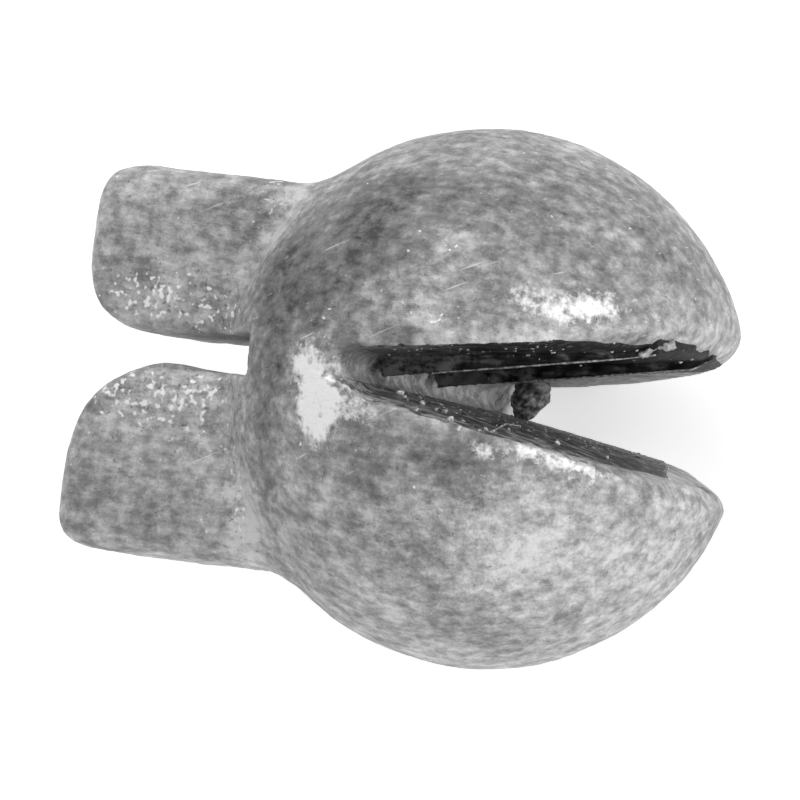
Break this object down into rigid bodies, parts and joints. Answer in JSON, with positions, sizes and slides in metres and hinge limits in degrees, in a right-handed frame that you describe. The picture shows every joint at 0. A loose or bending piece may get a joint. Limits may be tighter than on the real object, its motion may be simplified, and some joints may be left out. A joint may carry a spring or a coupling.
{
  "type": "fishing sinker",
  "caption": "Removable split-shot fishing sinker: a lead ball with a V-shaped mouth that closes on the line and rear pinch ears that open it again.",
  "frame": {"origin": "on the axis of the line seat at the root of the mouth, on the casting's plane of symmetry halfway along the seat", "axes": "+X towards the mouth's lips, +Z along the line, +Y towards the left jaw, which is the upper one in the picture"},
  "size_m": [0.0127, 0.0104, 0.01],
  "materials": {
    "cast_lead": null,
    "blade_cut_lead": "lead faces formed by the slot blade, nearly black with a slight gloss and streaks along the cut"
  },
  "bodies": {
    "left_half": {"left_jaw": "cast_lead", "left_ear": "cast_lead", "left_grip": "blade_cut_lead", "hinge_web": "cast_lead", "seat_flash": "cast_lead"},
    "right_half": {"right_jaw": "cast_lead", "right_ear": "cast_lead", "right_grip": "blade_cut_lead"}
  },
  "joints": [
    {"name": "web_bend", "type": "hinge", "parent": "left_half", "child": "right_half", "pos_m": [-0.00146, 0, 0], "axis": [0, 0, 1], "range_deg": [-7.5, 17], "deforming": ["hinge_web", "seat_flash"]}
  ]
}
